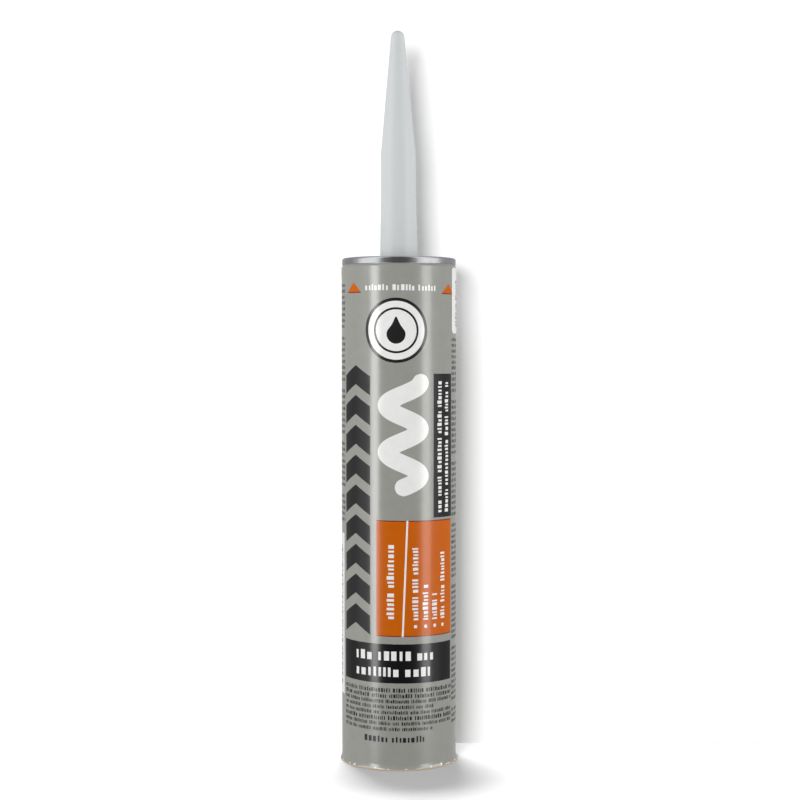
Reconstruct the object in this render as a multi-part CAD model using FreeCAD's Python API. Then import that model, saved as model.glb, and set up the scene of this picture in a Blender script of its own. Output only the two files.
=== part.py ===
import FreeCAD, Part

import math
import os

# Caulk cartridge: a wound board tube with a rolled metal end, a moulded nozzle and a sliding
# plunger. Millimetres, +Z up. The origin is the centre of the tail face, on which the cartridge
# stands, and the front of the printed label faces -Y. Most pieces are turned shapes: a section
# is drawn in the (radius, height) half plane over +X and revolved about the Z axis.

# Tube wall, from the bore outwards
bore_radius = 23.4          # inside of the foil liner
liner_wall = 0.10           # aluminium foil and its backing paper
board_wall = 0.95           # wound board
label_wall = 0.15           # printed label, pasted round the board
body_length = 216.0         # tail face to the top of the rolled rim

# Tail, spread a little so that the board's raw edge stands out
flare_out = 0.8
flare_height = 2.6
liner_setback = 0.3         # the foil ends this far above the tail face
label_setback = 0.55        # the label is scuffed back this far from the raw edge

# Label lap down the back, and the sticker on the side
lap_width = 8.0
lap_angle = -137.0          # middle of the lap, degrees from the front, positive to the right
sticker_wall = 0.10
adhesive_wall = 0.05        # between the sticker and the label
sticker_width = 57.0
sticker_height = 28.0
sticker_corner = 2.0
sticker_edge_angle = 65.7   # its near edge, degrees from the front
sticker_top_gap = 0.2       # from its top to where the label turns in under the rim

# Stamped metal end, rolled over the tube's top
sheet_wall = 0.30
rim_setback = 0.15          # the rim stands this far inside the label's surface
rim_height = 2.9
rim_width = 1.8
rim_outer_corner = 1.0
rim_inner_corner = 0.5
neck_length = 1.0           # height over which the tube's wall turns in under the rim
neck_gap = 0.1              # from the end of that turn to the skirt's lower edge
compound_height = 0.8       # sealing compound between the wall's top edge and the rim
countersink_depth = 5.2
countersink_width = 1.75
countersink_bend = 0.6
panel_step = 1.4            # the panel stands this far above the countersink
panel_bend = 0.8
boss_radius = 11.8
boss_height = 3.0           # centre boss above the panel
boss_bend = 0.9

# Nozzle
nozzle_length = 97.5        # above the rim
nozzle_wall = 1.4
collar_radius = 8.0
collar_height = 5.0
barrel_radius = 7.5
barrel_start = 26.0         # above the rim: end of the slow taper from collar to barrel
shoulder_height = 44.3      # above the rim: where the barrel turns into the cone
shoulder_blend = 40.0
tip_radius = 2.9
tip_plug = 6.0              # solid plastic at the closed tip
waist_depth = 0.3           # groove that the metal end's hole grips
waist_length = 0.4
waist_clearance = 0.05
flange_thickness = 2.2
flange_clearance = 0.15

# Breakaway seal welded under the nozzle's flange
seal_rim_wall = 0.4
seal_web_wall = 0.2
seal_rim_width = 3.6
seal_setback = 0.6          # from the flange's edge to the seal's edge
score_count = 6
score_width = 0.5
score_depth = 0.1

# Plunger, an open cup with its flat face to the sealant
tail_recess = 20.0          # tail face to the plunger's rear rim
plunger_length = 18.5
lip_clearance = 0.10
lip_height = 0.8
lip_slope = 1.8
waist_gap = 1.0             # plunger's waist to the bore
plunger_wall = 1.4
plunger_face_wall = 1.8
plunger_root_bend = 1.0
rim_chamfer = 0.7
hub_radius = 6.0
hub_wall = 1.2
rib_count = 8
rib_wall = 1.2
rib_height = 4.0
gate_radius = 1.2
gate_height = 0.8

# Sealant
sealant_film = 0.02         # between the sealant and what holds it at the sides

# Radii and heights that follow from the sizes above
board_inner = bore_radius + liner_wall
board_outer = board_inner + board_wall
tube_radius = board_outer + label_wall
rim_radius = tube_radius - rim_setback
skirt_inner = rim_radius - sheet_wall
neck_depth = tube_radius - skirt_inner

rim_top = body_length
skirt_bottom = rim_top - rim_height
neck_end = skirt_bottom - neck_gap
neck_start = neck_end - neck_length
channel_top = rim_top - sheet_wall
wall_top = channel_top - compound_height
chuck_radius = rim_radius - rim_width
countersink_z = rim_top - countersink_depth
countersink_inner = chuck_radius - countersink_width
panel_z = countersink_z + panel_step
boss_top = panel_z + boss_height

flange_top = boss_top - sheet_wall
flange_bottom = flange_top - flange_thickness
flange_radius = boss_radius - sheet_wall - flange_clearance
flange_round = boss_bend - sheet_wall
waist_radius = collar_radius - waist_depth
waist_top = flange_top + waist_length
hole_radius = waist_radius + waist_clearance
nozzle_top = rim_top + nozzle_length
seal_bottom = flange_bottom - seal_rim_wall
seal_radius = flange_radius - seal_setback

plunger_rear = tail_recess
plunger_front = plunger_rear + plunger_length
lip_radius = bore_radius - lip_clearance
plunger_waist = bore_radius - waist_gap
cup_radius = plunger_waist - plunger_wall
cup_floor = plunger_front - plunger_face_wall
rib_rear = cup_floor - rib_height

AXIS = FreeCAD.Vector(0, 0, 1)
CENTRE = FreeCAD.Vector(0, 0, 0)
FULL_TURN = 360.0


def point(radius, height):
    """A point of the (radius, height) half plane, drawn over +X."""
    return FreeCAD.Vector(radius, 0, height)


def line(start, end):
    """A straight edge."""
    return Part.LineSegment(start, end).toShape()


def arc(start, middle, end):
    """A round edge through three points."""
    return Part.Arc(start, middle, end).toShape()


def flat(bend):
    """A small bend drawn as one flat that touches the middle of its arc."""
    return -bend


def edges_along(corners, closed=True):
    """Edges through corners given as (radius, height, bend).

    A bend of 0 keeps a corner sharp, one above 0 is an arc, and one below 0 is a flat.
    """
    count = len(corners)
    stops = []
    for index, (radius, height, bend) in enumerate(corners):
        here = point(radius, height)
        at_end = not closed and index in (0, count - 1)
        if bend == 0 or at_end:
            stops.append((here, None, here))
            continue
        before = point(*corners[index - 1][:2]) - here
        after = point(*corners[(index + 1) % count][:2]) - here
        before.normalize()
        after.normalize()
        half_angle = before.getAngle(after) / 2
        depth = abs(bend) * (1 / math.sin(half_angle) - 1)
        if bend > 0:
            reach = bend / math.tan(half_angle)
            bisector = before + after
            bisector.normalize()
            middle = here + bisector * depth
        else:
            reach = depth / math.cos(half_angle)
            middle = None
        stops.append((here + before * reach, middle, here + after * reach))
    edges = []
    for index, (entry, middle, leave) in enumerate(stops):
        if middle is not None:
            edges.append(arc(entry, middle, leave))
        elif entry != leave:
            edges.append(line(entry, leave))
        if index + 1 < count or closed:
            target = stops[(index + 1) % count][0]
            if leave.distanceToPoint(target) > 1e-7:
                edges.append(line(leave, target))
    return edges


def turned(edges, angle=FULL_TURN):
    """The solid that a closed section sweeps about the Z axis."""
    face = Part.Face(Part.Wire(edges))
    solid = face.revolve(CENTRE, AXIS, angle)
    if solid.ShapeType != "Solid":
        solid = solid.Solids[0]
    return solid


def turned_section(corners, angle=FULL_TURN):
    """The solid that a section with rounded corners sweeps about the Z axis."""
    return turned(edges_along(corners), angle)


def facing(angle):
    """Rotation that carries the (radius, height) half plane to an angle from the front."""
    return FreeCAD.Rotation(AXIS, angle - 90.0)


def flare_at(height):
    """How far the spread tail stands out at a height above the tail face."""
    if height >= flare_height:
        return 0.0
    bend = (flare_out ** 2 + flare_height ** 2) / (2 * flare_out)
    return bend - math.sqrt(bend ** 2 - (flare_height - height) ** 2)


def wall_edges(radius, start, end):
    """One surface of the wall: spread tail, straight run, and the turn in under the rim."""
    edges = []
    straight_start = start
    if start < flare_height:
        middle = (start + flare_height) / 2
        straight_start = flare_height
        edges.append(arc(
            point(radius + flare_at(start), start),
            point(radius + flare_at(middle), middle),
            point(radius, flare_height)))
    if end <= neck_start:
        edges.append(line(point(radius, straight_start), point(radius, end)))
        return edges
    necked = radius - neck_depth
    edges.append(line(point(radius, straight_start), point(radius, neck_start)))
    edges.append(line(point(radius, neck_start), point(necked, neck_end)))
    edges.append(line(point(necked, neck_end), point(necked, end)))
    return edges


def wall_ply(inner, outer, start, end, angle=FULL_TURN):
    """One ply of the tube's wall, between two radii of its straight run."""
    inside = wall_edges(inner, start, end)
    outside = wall_edges(outer, start, end)
    top = line(inside[-1].Vertexes[-1].Point, outside[-1].Vertexes[-1].Point)
    foot = line(inside[0].Vertexes[0].Point, outside[0].Vertexes[0].Point)
    return turned(inside + [top] + outside[::-1] + [foot], angle)


def make_board_tube():
    """Wound board: the piece that carries the load, raw at the tail."""
    return wall_ply(board_inner, board_outer, 0.0, wall_top)


def make_foil_liner():
    """Foil ply that lines the bore and keeps the sealant from drying through the board."""
    return wall_ply(bore_radius, board_inner, liner_setback, wall_top)


def make_label_wrap():
    """Printed label, one turn of paper with a lap where its ends meet."""
    label = wall_ply(board_outer, tube_radius, label_setback, wall_top)
    lap_turn = math.degrees(lap_width / tube_radius)
    lap = wall_ply(tube_radius, tube_radius + label_wall, label_setback, neck_start, lap_turn)
    lap.Placement = FreeCAD.Placement(CENTRE, facing(lap_angle - lap_turn / 2))
    return label.fuse(lap).removeSplitter()


def make_stock_sticker():
    """Plain white sticker on the right side, with rounded corners."""
    cutter_start = tube_radius - label_wall
    cutter_depth = 2 * label_wall + adhesive_wall + sticker_wall
    top = neck_start - sticker_top_gap
    bottom = top - sticker_height
    inner = tube_radius + adhesive_wall
    outer = inner + sticker_wall
    turn = math.degrees(sticker_width / tube_radius)
    strip = turned_section([
        (inner, bottom, 0), (outer, bottom, 0),
        (outer, top, 0), (inner, top, 0)], turn)
    corner_turn = math.degrees(sticker_corner / tube_radius)
    span = 2 * sticker_corner
    for angle, side in ((corner_turn, -1), (turn - corner_turn, 1)):
        for height, upward in ((bottom + sticker_corner, -1), (top - sticker_corner, 1)):
            cutter = Part.makeBox(cutter_depth, span, span)
            cutter.translate(FreeCAD.Vector(
                cutter_start, 0 if side > 0 else -span, 0 if upward > 0 else -span))
            cutter = cutter.cut(Part.makeCylinder(
                sticker_corner, cutter_depth, point(cutter_start, 0), FreeCAD.Vector(1, 0, 0)))
            cutter.translate(FreeCAD.Vector(0, 0, height))
            cutter.rotate(CENTRE, AXIS, angle)
            strip = strip.cut(cutter)
    strip = strip.Solids[0]
    strip.Placement = FreeCAD.Placement(CENTRE, facing(sticker_edge_angle))
    return strip


def sheet_corners(corners, wall):
    """Corners of a sheet's far face: each run moved by the wall, each bend eased to suit."""
    runs = []
    for (r0, z0, _), (r1, z1, _) in zip(corners, corners[1:]):
        along = FreeCAD.Vector(r1 - r0, 0, z1 - z0)
        along.normalize()
        normal = FreeCAD.Vector(-along.z, 0, along.x) * wall
        runs.append((point(r0, z0) + normal, point(r1, z1) + normal, along))
    moved = [(runs[0][0].x, runs[0][0].z, 0)]
    for index in range(1, len(corners) - 1):
        first, second = runs[index - 1], runs[index]
        turn = first[2].z * second[2].x - first[2].x * second[2].z
        gap = second[0] - first[1]
        step = (gap.z * second[2].x - gap.x * second[2].z) / turn
        corner = first[1] + first[2] * step
        bend = abs(corners[index][2])
        bend = bend + wall if turn > 0 else bend - wall
        moved.append((corner.x, corner.z, flat(bend)))
    moved.append((runs[-1][1].x, runs[-1][1].z, 0))
    return moved


def make_metal_end():
    """Stamped end: skirt, rolled rim, countersink, panel and the boss that holds the nozzle."""
    face = [
        (rim_radius, skirt_bottom, 0),
        (rim_radius, rim_top, rim_outer_corner),
        (chuck_radius, rim_top, flat(rim_inner_corner)),
        (chuck_radius, countersink_z, flat(countersink_bend)),
        (countersink_inner, countersink_z, flat(countersink_bend)),
        (countersink_inner, panel_z, flat(panel_bend)),
        (boss_radius, panel_z, flat(panel_bend)),
        (boss_radius, boss_top, flat(boss_bend)),
        (hole_radius, boss_top, 0)]
    back = sheet_corners(face, sheet_wall)
    skirt_edge = line(point(rim_radius, skirt_bottom), point(*back[0][:2]))
    hole_edge = line(point(hole_radius, boss_top), point(*back[-1][:2]))
    outside = edges_along(face, closed=False)
    inside = edges_along(back, closed=False)
    return turned(outside + [hole_edge] + inside[::-1] + [skirt_edge])


def make_seam_compound():
    """Ring of sealing compound that fills the rim above the tube's top edge."""
    inner = chuck_radius + sheet_wall
    return turned_section([
        (inner, wall_top, 0),
        (skirt_inner, wall_top, 0),
        (skirt_inner, channel_top, flat(rim_outer_corner - sheet_wall)),
        (inner, channel_top, flat(rim_inner_corner - sheet_wall))])


def cone_line():
    """Centre height of the tip's dome, and the cone's lean, with the cone tangent to the dome."""
    shoulder_z = rim_top + shoulder_height
    dome_centre = nozzle_top - tip_radius
    rise = dome_centre - shoulder_z
    lean = math.atan2(barrel_radius, rise) - math.asin(tip_radius / math.hypot(barrel_radius, rise))
    return dome_centre, lean


def make_nozzle():
    """Hollow nozzle: base flange, waist, collar, barrel, soft shoulder, cone and closed dome."""
    dome_centre, lean = cone_line()
    shoulder_z = rim_top + shoulder_height
    touch = point(tip_radius * math.cos(lean), dome_centre + tip_radius * math.sin(lean))
    bore_end = nozzle_top - tip_plug
    bore_end_radius = barrel_radius - (bore_end - shoulder_z) * math.tan(lean) - nozzle_wall
    side = edges_along([
        (touch.x, touch.z, 0),
        (barrel_radius, shoulder_z, shoulder_blend),
        (barrel_radius, rim_top + barrel_start, 0),
        (collar_radius, waist_top + collar_height, 0),
        (collar_radius, waist_top, 0),
        (waist_radius, waist_top, 0),
        (waist_radius, flange_top, 0),
        (flange_radius, flange_top, flat(flange_round)),
        (flange_radius, flange_bottom, flat(flange_round)),
        (waist_radius - nozzle_wall, flange_bottom, 0),
        (barrel_radius - nozzle_wall, rim_top + barrel_start, 0),
        (barrel_radius - nozzle_wall, shoulder_z, shoulder_blend),
        (bore_end_radius, bore_end, 0),
        (0, bore_end, 0)], closed=False)
    dome_turn = (math.pi / 2 + lean) / 2
    dome = arc(
        point(0, nozzle_top),
        point(tip_radius * math.cos(dome_turn), dome_centre + tip_radius * math.sin(dome_turn)),
        touch)
    axis_edge = line(point(0, bore_end), point(0, nozzle_top))
    return turned([dome] + side + [axis_edge])


def make_inner_seal():
    """Breakaway seal: a thin web, scored like a star, inside a thicker welding rim."""
    web_radius = seal_radius - seal_rim_width
    seal = turned_section([
        (0, flange_bottom, 0),
        (seal_radius, flange_bottom, 0),
        (seal_radius, seal_bottom, 0),
        (web_radius, seal_bottom, 0),
        (web_radius, flange_bottom - seal_web_wall, 0),
        (0, flange_bottom - seal_web_wall, 0)])
    for number in range(score_count):
        score = Part.makeBox(web_radius - score_width, score_width, 2 * score_depth)
        score.translate(FreeCAD.Vector(
            score_width, -score_width / 2, flange_bottom - seal_web_wall - score_depth))
        score.rotate(CENTRE, AXIS, number * FULL_TURN / score_count)
        seal = seal.cut(score)
    return seal.Solids[0]


def make_sealant():
    """Sealant column between the plunger and the metal end, up to the breakaway seal."""
    side = bore_radius - sealant_film
    groove_foot = countersink_z - sheet_wall
    under_panel = panel_z - sheet_wall
    panel_side = countersink_inner - sheet_wall - sealant_film
    boss_side = flange_radius - flange_clearance - panel_bend
    return turned_section([
        (0, plunger_front, 0),
        (side, plunger_front, 0),
        (side, groove_foot, 0),
        (panel_side, groove_foot, 0),
        (panel_side, under_panel, flat(panel_bend)),
        (boss_side, under_panel, 0),
        (boss_side, seal_bottom, 0),
        (0, seal_bottom, 0)])


def make_plunger():
    """Moulded cup: flat face, two wiping lips, and ribs from a hub to the skirt."""
    cup = turned_section([
        (0, plunger_front, 0),
        (lip_radius, plunger_front, 0),
        (lip_radius, plunger_front - lip_height, 0),
        (plunger_waist, plunger_front - lip_height - lip_slope, 0),
        (plunger_waist, plunger_rear + lip_height + lip_slope, 0),
        (lip_radius, plunger_rear + lip_height, 0),
        (lip_radius, plunger_rear, 0),
        (cup_radius + rim_chamfer, plunger_rear, 0),
        (cup_radius, plunger_rear + rim_chamfer, 0),
        (cup_radius, cup_floor, flat(plunger_root_bend)),
        (0, cup_floor, 0)])
    hub = Part.makeCylinder(hub_radius, rib_height, point(0, rib_rear))
    hub = hub.cut(Part.makeCylinder(hub_radius - hub_wall, rib_height, point(0, rib_rear)))
    gate = Part.makeCylinder(gate_radius, gate_height, point(0, cup_floor - gate_height))
    ribs = []
    rib_start = hub_radius - hub_wall / 2
    rib_end = cup_radius + plunger_wall / 2
    for number in range(rib_count):
        rib = Part.makeBox(rib_end - rib_start, rib_wall, rib_height)
        rib.translate(FreeCAD.Vector(rib_start, -rib_wall / 2, rib_rear))
        rib.rotate(CENTRE, AXIS, (number + 0.5) * FULL_TURN / rib_count)
        ribs.append(rib)
    return cup.multiFuse([hub, gate] + ribs).removeSplitter()


pieces = {
    "board_tube": make_board_tube,
    "foil_liner": make_foil_liner,
    "label_wrap": make_label_wrap,
    "stock_sticker": make_stock_sticker,
    "metal_end": make_metal_end,
    "seam_compound": make_seam_compound,
    "nozzle": make_nozzle,
    "inner_seal": make_inner_seal,
    "sealant": make_sealant,
    "plunger": make_plunger,
}

os.makedirs("parts", exist_ok=True)
for name, make in pieces.items():
    shape = make()
    if shape.ShapeType != "Solid" and len(shape.Solids) == 1:
        shape = shape.Solids[0]
    shape.exportStep("parts/" + name + ".step")
    print(name, shape.ShapeType, "valid" if shape.isValid() else "NOT VALID",
          "solids", len(shape.Solids), "volume", round(shape.Volume, 2))
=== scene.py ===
import logging
import math
import random
from dataclasses import dataclass, field
from enum import Enum

import bpy
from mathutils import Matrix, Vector, noise
from mathutils.geometry import delaunay_2d_cdt

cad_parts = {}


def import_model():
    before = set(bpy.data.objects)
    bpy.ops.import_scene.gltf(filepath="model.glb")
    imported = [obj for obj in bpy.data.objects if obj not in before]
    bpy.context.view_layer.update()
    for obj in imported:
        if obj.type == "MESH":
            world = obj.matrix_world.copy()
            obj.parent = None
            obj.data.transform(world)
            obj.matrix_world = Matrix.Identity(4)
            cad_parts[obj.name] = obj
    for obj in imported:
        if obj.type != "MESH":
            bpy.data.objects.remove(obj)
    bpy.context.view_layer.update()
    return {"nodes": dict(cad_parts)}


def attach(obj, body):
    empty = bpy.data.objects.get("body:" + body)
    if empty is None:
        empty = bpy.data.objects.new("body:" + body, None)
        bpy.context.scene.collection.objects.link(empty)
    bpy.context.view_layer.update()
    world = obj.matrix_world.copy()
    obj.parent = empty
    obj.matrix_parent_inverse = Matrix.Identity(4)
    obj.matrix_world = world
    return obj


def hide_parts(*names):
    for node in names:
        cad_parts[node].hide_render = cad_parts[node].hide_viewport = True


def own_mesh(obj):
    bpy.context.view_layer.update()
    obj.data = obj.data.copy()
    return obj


# Looks of a caulk cartridge: printed label, raw board edge, seamed metal end, nozzle and plunger.
# Sizes are written in millimetres and turned into metres where a mesh is made. A place on the
# label is (u, z): u is the arc from the middle of the front, positive to the right.

MM = 0.001
LOG = logging.getLogger("caulk_cartridge")

SAME_PLACE = 1e-4       # millimetres within which two places of the flat label are one

Colour = tuple[float, float, float]
Corner = tuple[float, float, float]
Spot = tuple[float, float, float]
Place = tuple[float, float]
Material = bpy.types.Material
Socket = bpy.types.NodeSocket


class Body(Enum):
    """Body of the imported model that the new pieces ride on."""

    CARTRIDGE = "cartridge"


class Ink(Enum):
    """Inks of the label, in the order of its material slots."""

    GREY = 0
    WHITE = 1
    ORANGE = 2
    BLACK = 3
    CHARCOAL = 4
    RUST = 5
    PAPER = 6
    SCUFF = 7


INK_COLOURS: dict[Ink, Colour] = {
    Ink.GREY: (0.288, 0.290, 0.266),
    Ink.WHITE: (0.800, 0.805, 0.790),
    Ink.ORANGE: (0.535, 0.108, 0.0005),
    Ink.BLACK: (0.005, 0.005, 0.005),
    Ink.CHARCOAL: (0.014, 0.014, 0.015),
    Ink.RUST: (0.210, 0.020, 0.006),
    Ink.PAPER: (0.780, 0.770, 0.730),
    Ink.SCUFF: (0.500, 0.505, 0.470),
}


@dataclass
class NodeSketch:
    """Adds nodes to one tree and joins them."""

    tree: bpy.types.NodeTree

    def add(self, kind: str, inputs: dict | None = None, **settings: object) -> bpy.types.Node:
        """Add one node.

        Args:
            kind: Type name of the node.
            inputs: Value or source socket for each named or numbered input.
            **settings: Properties of the node itself.

        Returns:
            The new node.
        """
        node = self.tree.nodes.new(kind)
        for name, value in settings.items():
            setattr(node, name, value)
        for key, value in (inputs or {}).items():
            if isinstance(value, Socket):
                self.tree.links.new(value, node.inputs[key])
            else:
                node.inputs[key].default_value = value
        return node

    def math(self, operation: str, *values: object) -> Socket:
        """Add a Math node and return its result."""
        kind = "ShaderNodeMath"
        return self.add(kind, dict(enumerate(values)), operation=operation).outputs[0]

    def link(self, source: Socket, target: Socket) -> None:
        """Join two sockets."""
        self.tree.links.new(source, target)


def new_material(name: str) -> tuple[Material, NodeSketch]:
    """Make an empty node material.

    Args:
        name: Name of the material.

    Returns:
        The material and a sketch of its node tree.
    """
    material = bpy.data.materials.new(name)
    material.use_nodes = True
    material.node_tree.nodes.clear()
    return material, NodeSketch(material.node_tree)


@dataclass(frozen=True)
class Grain:
    """A noise on object coordinates, in features of a given size in millimetres."""

    size: float
    detail: float = 3.0
    roughness: float = 0.5
    stretch: Spot = (1.0, 1.0, 1.0)

    def sample(self, sketch: NodeSketch) -> Socket:
        """Add the noise to a tree and return its value, about 0 to 1."""
        place = sketch.add("ShaderNodeTexCoord").outputs["Object"]
        scale = tuple(part / (self.size * MM) for part in self.stretch)
        mapping = sketch.add("ShaderNodeMapping", {"Vector": place, "Scale": scale})
        texture = sketch.add("ShaderNodeTexNoise", {
            "Vector": mapping.outputs[0], "Scale": 1.0,
            "Detail": self.detail, "Roughness": self.roughness})
        return texture.outputs["Fac"]


def graded(sketch: NodeSketch, value: Socket, low: Colour, high: Colour,
           start: float = 0.3, end: float = 0.7) -> Socket:
    """Turn a value into a colour between two colours.

    Args:
        sketch: Tree to add to.
        value: Value to grade.
        low: Colour at and below start.
        high: Colour at and above end.
        start: Lower stop.
        end: Upper stop.

    Returns:
        The colour socket.
    """
    ramp = sketch.add("ShaderNodeValToRGB", {"Fac": value})
    stops = ramp.color_ramp.elements
    stops[0].position, stops[0].color = start, (*low, 1.0)
    stops[1].position, stops[1].color = end, (*high, 1.0)
    return ramp.outputs["Color"]


def ranged(sketch: NodeSketch, value: Socket, low: float, high: float,
           start: float = 0.3, end: float = 0.7) -> Socket:
    """Map a value from one range to another and return the result."""
    return sketch.add("ShaderNodeMapRange", {
        "Value": value, "From Min": start, "From Max": end,
        "To Min": low, "To Max": high}).outputs[0]


def bumped(sketch: NodeSketch, layers: list[tuple[Socket, float]]
           ) -> Socket:
    """Stack bumps and return the normal.

    Args:
        sketch: Tree to add to.
        layers: Height and depth in millimetres of each bump, the coarsest first.

    Returns:
        The normal socket of the last bump.
    """
    normal = None
    for height, depth in layers:
        inputs = {"Height": height, "Distance": depth * MM, "Strength": 1.0}
        if normal is not None:
            inputs["Normal"] = normal
        normal = sketch.add("ShaderNodeBump", inputs).outputs[0]
    return normal


def finished(sketch: NodeSketch, inputs: dict) -> None:
    """Close a surface material with a Principled shader.

    Args:
        sketch: Tree to add to.
        inputs: Values or sockets for the shader's inputs.
    """
    shader = sketch.add("ShaderNodeBsdfPrincipled", inputs)
    sketch.add("ShaderNodeOutputMaterial", {"Surface": shader.outputs[0]})


@dataclass(frozen=True)
class LabelInk:
    """Ink on satin-varnished paper; bare paper has no varnish."""

    ink: Ink
    varnish_rough: Place = (0.19, 0.23)
    paper_rough: Place = (0.62, 0.74)
    reflection: float = 0.30
    orange_reflection: float = 0.19

    def build(self) -> Material:
        """Return the ink's material."""
        material, sketch = new_material("ink_" + self.ink.name.lower())
        colour = INK_COLOURS[self.ink]
        darker = tuple(part * 0.965 for part in colour)
        lighter = tuple(min(1.0, part * 1.03) for part in colour)
        cloud = Grain(5.0, 5.0, 0.6).sample(sketch)
        fibre = Grain(0.35, 2.0).sample(sketch)
        wave = Grain(14.0, 1.0, stretch=(1.0, 1.0, 0.5)).sample(sketch)
        bare = self.ink in (Ink.PAPER, Ink.SCUFF)
        finished(sketch, {
            "Base Color": graded(sketch, cloud, darker, lighter),
            "Roughness": ranged(sketch, cloud,
                                *(self.paper_rough if bare else self.varnish_rough)),
            "Specular IOR Level":
                self.orange_reflection if self.ink is Ink.ORANGE else self.reflection,
            "Normal": bumped(sketch, [(wave, 0.03), (fibre, 0.012 if bare else 0.002)])})
        return material


@dataclass(frozen=True)
class RawBoard:
    """Wound grey-brown board, with its plies showing at a cut edge."""

    ply: float = 0.32

    def build(self) -> Material:
        """Return the board's material."""
        material, sketch = new_material("raw_board")
        place = sketch.add("ShaderNodeTexCoord").outputs["Object"]
        flat = sketch.add("ShaderNodeVectorMath", {0: place, 1: (1.0, 1.0, 0.0)},
                          operation="MULTIPLY").outputs[0]
        radius = sketch.add("ShaderNodeVectorMath", {0: flat}, operation="LENGTH").outputs[1]
        wobble = Grain(2.0, 3.0).sample(sketch)
        plies = sketch.math("ADD", sketch.math("DIVIDE", radius, self.ply * MM),
                            sketch.math("MULTIPLY", wobble, 0.5))
        line = sketch.math("PINGPONG", plies, 0.5)
        fibre = Grain(0.22, 4.0, 0.7).sample(sketch)
        tone = sketch.math("ADD", sketch.math("MULTIPLY", fibre, 0.6),
                           sketch.math("MULTIPLY", line, 0.9))
        finished(sketch, {
            "Base Color": graded(sketch, tone, (0.24, 0.16, 0.095), (0.60, 0.46, 0.31), 0.3, 0.75),
            "Roughness": 0.88,
            "Normal": bumped(sketch, [(line, 0.06), (fibre, 0.08)])})
        return material


@dataclass(frozen=True)
class WrinkledFoil:
    """Thin aluminium foil on paper, wound in a spiral with a lap at each turn."""

    pitch: float = 62.0         # rise of the lap in one turn
    lap_band: float = 0.035     # half width of the lap's ridge, as a share of the pitch

    def build(self) -> Material:
        """Return the foil's material."""
        material, sketch = new_material("liner_foil")
        place = sketch.add("ShaderNodeSeparateXYZ", {
            0: sketch.add("ShaderNodeTexCoord").outputs["Object"]}).outputs
        turns = sketch.math("DIVIDE", sketch.math("ARCTAN2", place[0], place[1]), 2 * math.pi)
        rise = sketch.math("DIVIDE", place[2], self.pitch * MM)
        away = sketch.math("PINGPONG", sketch.math("SUBTRACT", rise, turns), 0.5)
        ridge = ranged(sketch, away, 1.0, 0.0, 0.0, self.lap_band)
        crease = Grain(2.6, 5.0, 0.6).sample(sketch)
        cloud = Grain(11.0, 2.0).sample(sketch)
        tone = sketch.math("SUBTRACT", cloud, sketch.math("MULTIPLY", ridge, 0.5))
        finished(sketch, {
            "Base Color": graded(sketch, tone, (0.56, 0.56, 0.57), (0.78, 0.78, 0.79), 0.1, 0.7),
            "Metallic": 1.0,
            "Roughness": ranged(sketch, crease, 0.20, 0.38),
            "Normal": bumped(sketch, [(cloud, 0.10), (ridge, 0.12), (crease, 0.07)])})
        return material


@dataclass(frozen=True)
class Tinplate:
    """Bright tin-plated sheet, drawn and rolled."""

    def build(self) -> Material:
        """Return the sheet's material."""
        material, sketch = new_material("end_tinplate")
        drawn = Grain(1.2, 3.0, stretch=(1.0, 1.0, 9.0)).sample(sketch)
        cloud = Grain(5.0, 4.0).sample(sketch)
        finished(sketch, {
            "Base Color": graded(sketch, cloud, (0.50, 0.51, 0.53), (0.60, 0.61, 0.62)),
            "Metallic": 1.0,
            "Roughness": ranged(sketch, cloud, 0.18, 0.28),
            "Normal": bumped(sketch, [(cloud, 0.03), (drawn, 0.006)])})
        return material


@dataclass(frozen=True)
class MouldedPlastic:
    """Satin polyethylene, a little see-through in its depth."""

    name: str
    colour: Colour
    shine: float
    depth: float

    def build(self) -> Material:
        """Return the plastic's material."""
        material, sketch = new_material(self.name)
        cloud = Grain(22.0, 1.0, stretch=(1.0, 1.0, 0.4)).sample(sketch)
        skin = Grain(0.5, 3.0).sample(sketch)
        darker = tuple(part * 0.97 for part in self.colour)
        finished(sketch, {
            "Base Color": graded(sketch, cloud, darker, self.colour, 0.1, 0.9),
            "Roughness": ranged(sketch, cloud, self.shine - 0.03, self.shine + 0.04),
            "Subsurface Weight": 0.25,
            "Subsurface Radius": (1.0, 0.95, 0.9),
            "Subsurface Scale": self.depth * MM,
            "Normal": bumped(sketch, [(cloud, 0.02), (skin, 0.004)])})
        return material


@dataclass(frozen=True)
class PlainSkin:
    """A plain soft or filmy surface: sealant, sealing compound or seal film."""

    name: str
    colour: Colour
    shine: float
    texture: Grain
    relief: float

    def build(self) -> Material:
        """Return the skin's material."""
        material, sketch = new_material(self.name)
        value = self.texture.sample(sketch)
        darker = tuple(part * 0.92 for part in self.colour)
        finished(sketch, {
            "Base Color": graded(sketch, value, darker, self.colour),
            "Roughness": ranged(sketch, value, self.shine, self.shine + 0.08),
            "Normal": bumped(sketch, [(value, self.relief)])})
        return material


@dataclass
class Wall:
    """The tube's wall, with its spread tail and its turn in under the rim."""

    radius: float = 24.6
    board: float = 24.45
    bore: float = 23.4
    flare_out: float = 0.8
    flare_height: float = 2.6
    neck_start: float = 212.0
    neck_end: float = 213.0
    neck_depth: float = 0.45
    top: float = 214.9

    def flare_at(self, z: float) -> float:
        """How far the spread tail stands out at a height."""
        if z >= self.flare_height:
            return 0.0
        bend = (self.flare_out ** 2 + self.flare_height ** 2) / (2 * self.flare_out)
        return bend - math.sqrt(bend ** 2 - (self.flare_height - z) ** 2)

    def neck_at(self, z: float) -> float:
        """How far the wall has turned in at a height."""
        span = (z - self.neck_start) / (self.neck_end - self.neck_start)
        return self.neck_depth * smooth(span)


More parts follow.
